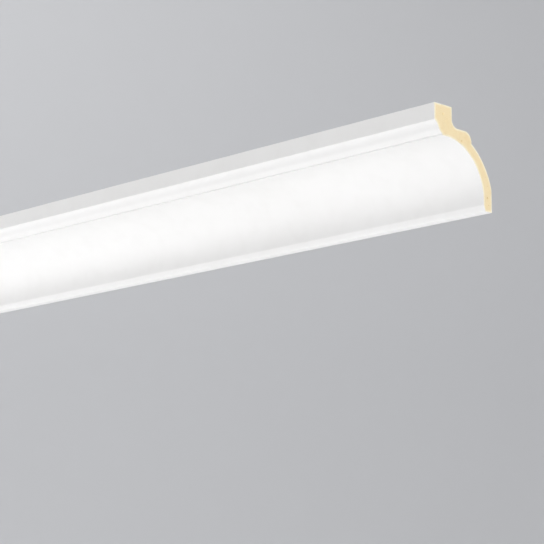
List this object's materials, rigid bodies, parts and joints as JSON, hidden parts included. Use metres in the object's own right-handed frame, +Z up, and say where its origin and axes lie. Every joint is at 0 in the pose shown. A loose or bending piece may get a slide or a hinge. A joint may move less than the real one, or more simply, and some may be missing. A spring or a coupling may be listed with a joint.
{
  "type": "crown moulding length",
  "caption": "Straight length of white primed foam crown moulding: cove face, hollow back, square-cut ends. Trims the corner between wall and ceiling.",
  "frame": {"origin": "on the wall face at mid length, on the pinning line 12 mm above the bottom edge", "axes": "+X along the moulding and the wall, +Y into the wall, +Z up to the ceiling; the room is on the -Y side"},
  "size_m": [1, 0.085, 0.096],
  "materials": {
    "primed_foam": "matt white primer on rigid cream foam, bare at the cut ends"
  },
  "bodies": {
    "root": {"crown_moulding": "primed_foam"}
  },
  "joints": []
}
